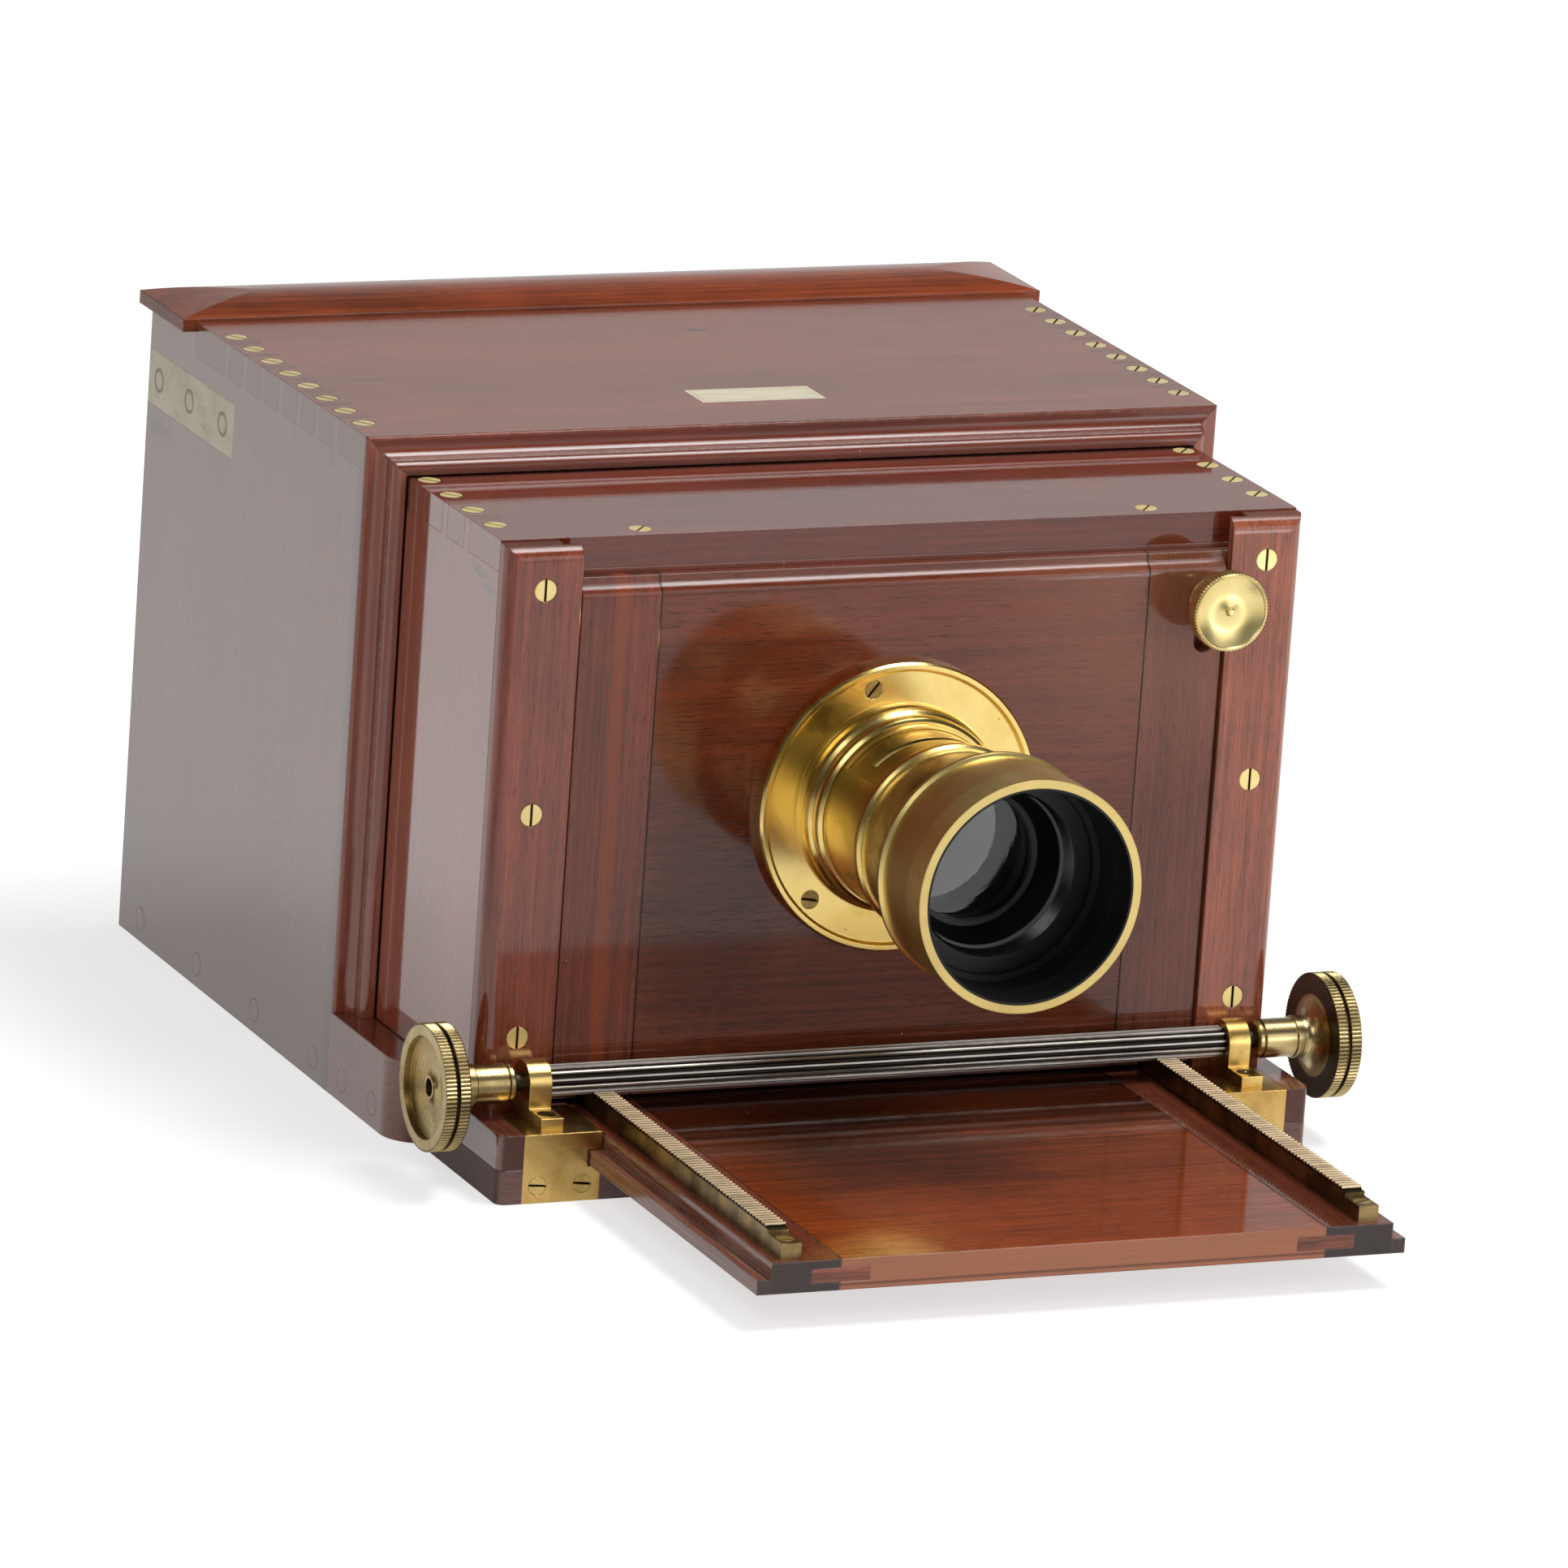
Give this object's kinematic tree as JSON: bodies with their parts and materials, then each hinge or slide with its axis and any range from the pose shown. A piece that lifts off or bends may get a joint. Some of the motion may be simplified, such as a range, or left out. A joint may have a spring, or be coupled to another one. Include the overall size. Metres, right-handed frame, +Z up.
{
  "type": "sliding box camera",
  "caption": "Sliding box plate camera in polished mahogany with brass lens, rack and pinion focusing on a tailboard and a rising lens panel.",
  "frame": {"origin": "centre of the tripod bush's mouth, on the underside that the camera stands on and in the plane of the rear box's mouth", "axes": "+X to the right of someone who faces the lens, +Y from the lens to the focusing screen, +Z up"},
  "size_m": [0.2448, 0.3486, 0.1715],
  "materials": {
    "mahogany": "french polished mahogany",
    "dark_mahogany": "darker polished mahogany",
    "lacquered_brass": "lacquered and polished",
    "aged_brass": "lacquered, with brown patina",
    "dark_steel": "cut leaves, dark",
    "bone": "polished bone, cream",
    "ground_glass": "ground on one face",
    "lens_glass": "polished"
  },
  "bodies": {
    "rear_body": {"rear_side_left": "mahogany", "rear_side_right": "mahogany", "rear_top": "mahogany", "rear_baseboard": "dark_mahogany", "base_lipping_left": "mahogany", "base_lipping_right": "mahogany", "mouth_moulding_top": "dark_mahogany", "mouth_moulding_left": "dark_mahogany", "mouth_moulding_right": "dark_mahogany", "screen_stop": "dark_mahogany", "rear_frame": "dark_mahogany", "strap_left": "aged_brass", "strap_right": "aged_brass", "strap_screws": "aged_brass", "rear_top_screws": "lacquered_brass", "side_pellets": "dark_mahogany", "inlaid_plaque": "bone", "tripod_bush": "lacquered_brass", "tailboard": "mahogany", "tailboard_clamp_left": "mahogany", "tailboard_clamp_right": "mahogany", "tailboard_splines": "dark_mahogany", "rack_left": "aged_brass", "rack_right": "aged_brass", "rack_screws": "lacquered_brass"},
    "focusing_screen": {"screen_frame": "dark_mahogany", "screen_cap": "mahogany", "ground_glass": "ground_glass"},
    "front_body": {"front_top": "mahogany", "front_side_left": "mahogany", "front_side_right": "mahogany", "front_floor": "dark_mahogany", "front_wall": "dark_mahogany", "cheek_left": "mahogany", "cheek_right": "mahogany", "cheek_screws": "lacquered_brass", "front_top_screws": "lacquered_brass", "front_base_plate": "dark_mahogany", "front_base_rail_left": "mahogany", "front_base_rail_right": "mahogany", "corner_plate_left": "lacquered_brass", "corner_plate_right": "lacquered_brass", "brass_plate_screws": "lacquered_brass", "pinion_bracket_left": "lacquered_brass", "pinion_bracket_right": "lacquered_brass", "clamp_nut": "lacquered_brass"},
    "pinion": {"pinion_shaft": "dark_steel", "milled_head_left": "aged_brass", "milled_head_right": "aged_brass"},
    "lens_board": {"lens_panel": "mahogany", "panel_clamp_left": "dark_mahogany", "panel_clamp_right": "dark_mahogany", "lens_flange": "lacquered_brass", "flange_screws": "aged_brass", "lens_barrel": "lacquered_brass", "lens_hood": "aged_brass", "front_lens": "lens_glass", "rear_lens": "lens_glass"},
    "stop_sleeve": {"stop_sleeve": "lacquered_brass"},
    "clamp_knob": {"clamp_knob": "lacquered_brass"}
  },
  "joints": [
    {"name": "focus_slide", "type": "slide", "parent": "rear_body", "child": "front_body", "axis": [0, -1, 0], "range_m": [-0.0045, 0.07]},
    {"name": "pinion_turn", "type": "hinge", "parent": "front_body", "child": "pinion", "pos_m": [0, -0.0798, 0.02554], "axis": [1, 0, 0], "range_deg": [-80, 1175]},
    {"name": "panel_rise", "type": "slide", "parent": "front_body", "child": "lens_board", "axis": [0, 0, 1], "range_m": [0, 0.0109]},
    {"name": "stop_sleeve_turn", "type": "hinge", "parent": "lens_board", "child": "stop_sleeve", "pos_m": [0, -0.0924, 0.0892], "axis": [0, -1, 0], "range_deg": [0, 110]},
    {"name": "clamp_knob_turn", "type": "hinge", "parent": "front_body", "child": "clamp_knob", "pos_m": [0.081, -0.08, 0.138], "axis": [0, -1, 0], "range_deg": [0, 360]},
    {"name": "focusing_screen_lift", "type": "slide", "parent": "rear_body", "child": "focusing_screen", "axis": [0, 0, 1], "range_m": [0, 0.15]}
  ],
  "couplings": [
    {"joint": "pinion_turn", "follows": "focus_slide", "rad_per_m": 290.89}
  ]
}
